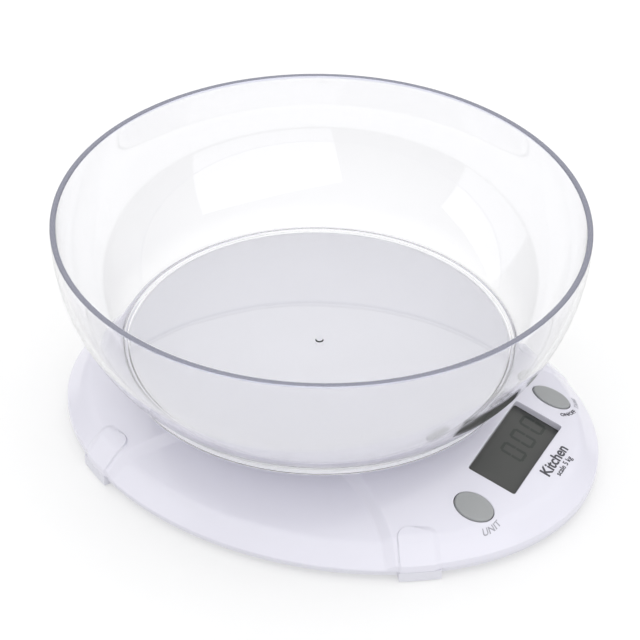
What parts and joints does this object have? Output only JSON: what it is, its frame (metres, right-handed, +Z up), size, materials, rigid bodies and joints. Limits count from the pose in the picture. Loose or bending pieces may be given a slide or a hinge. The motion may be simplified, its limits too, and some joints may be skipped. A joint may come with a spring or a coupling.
{
  "type": "kitchen scale",
  "caption": "Digital kitchen scale: low oval base with a sloping display window and grey push buttons, a round weighing platform and a clear lift-off bowl.",
  "frame": {"origin": "centre of the oval base at table level, which is also the middle of the bounding box seen from above", "axes": "+X to the user's right, +Y away from the display end, +Z up"},
  "size_m": [0.215, 0.2264, 0.1045],
  "materials": {
    "clear_plastic": "clear glossy styrene",
    "white_plastic": "glossy white ABS",
    "lower_white": "white ABS, fine texture underneath",
    "platform_white": "glossy white ABS",
    "steel": "zinc plated steel",
    "cell_aluminium": "sawn and milled aluminium",
    "silicone": "white silicone coating",
    "red_wire": "PVC insulation",
    "black_wire": "PVC insulation",
    "rubber": "dark rubber",
    "battery_wrap": "plain shrink sleeve",
    "spring_steel": "nickel plated",
    "board": "green solder mask",
    "black_resin": "black potting resin",
    "ceramic_part": "tan ceramic chip parts",
    "lcd": "dark grey liquid crystal glass",
    "holder_white": "white moulding",
    "zebra": "pink elastomer",
    "button_grey": "satin grey ABS",
    "switch_black": "black nylon",
    "plunger_white": "white nylon"
  },
  "bodies": {
    "base": {"load_cell": "cell_aluminium", "gauge_coating": "silicone", "lower_spacer": "cell_aluminium", "lower_cell_screws": "steel", "load_cell_wires": "red_wire", "top_housing": "white_plastic", "bottom_housing": "lower_white", "housing_screws": "steel", "foot_pads": "rubber", "battery_1": "battery_wrap", "battery_2": "battery_wrap", "battery_springs": "spring_steel", "battery_contacts": "spring_steel", "battery_wires": "black_wire", "pcb": "board", "pcb_screws": "steel", "controller_chip": "black_resin", "pcb_components": "ceramic_part", "lcd_glass": "lcd", "lcd_holder": "holder_white", "lcd_connectors": "zebra", "unit_switch": "switch_black", "power_switch": "switch_black"},
    "platform": {"platform": "platform_white", "platform_bracket": "steel", "platform_screws": "steel", "upper_spacer": "cell_aluminium", "upper_cell_screws": "steel"},
    "bowl": {"bowl": "clear_plastic"},
    "battery_door": {"battery_door": "lower_white"},
    "unit_button": {"unit_button": "button_grey", "unit_switch_plunger": "plunger_white"},
    "power_button": {"power_button": "button_grey", "power_switch_plunger": "plunger_white"}
  },
  "joints": [
    {"name": "platform_press", "type": "slide", "parent": "base", "child": "platform", "axis": [0, 0, -1], "range_m": [0, 0.0005], "stiffness_N_per_m": 120000, "deforming": ["load_cell"]},
    {"name": "bowl_lift", "type": "slide", "parent": "platform", "child": "bowl", "axis": [0, 0, 1], "range_m": [0, 0.08]},
    {"name": "unit_button_press", "type": "slide", "parent": "base", "child": "unit_button", "axis": [0, 0.304, -0.9527], "range_m": [0, 0.0005], "stiffness_N_per_m": 3000},
    {"name": "power_button_press", "type": "slide", "parent": "base", "child": "power_button", "axis": [0, 0.304, -0.9527], "range_m": [0, 0.0005], "stiffness_N_per_m": 3000},
    {"name": "battery_door_hinge", "type": "hinge", "parent": "base", "child": "battery_door", "pos_m": [0, 0.0498, 0.0045], "axis": [-1, 0, 0], "range_deg": [0, 75]}
  ]
}
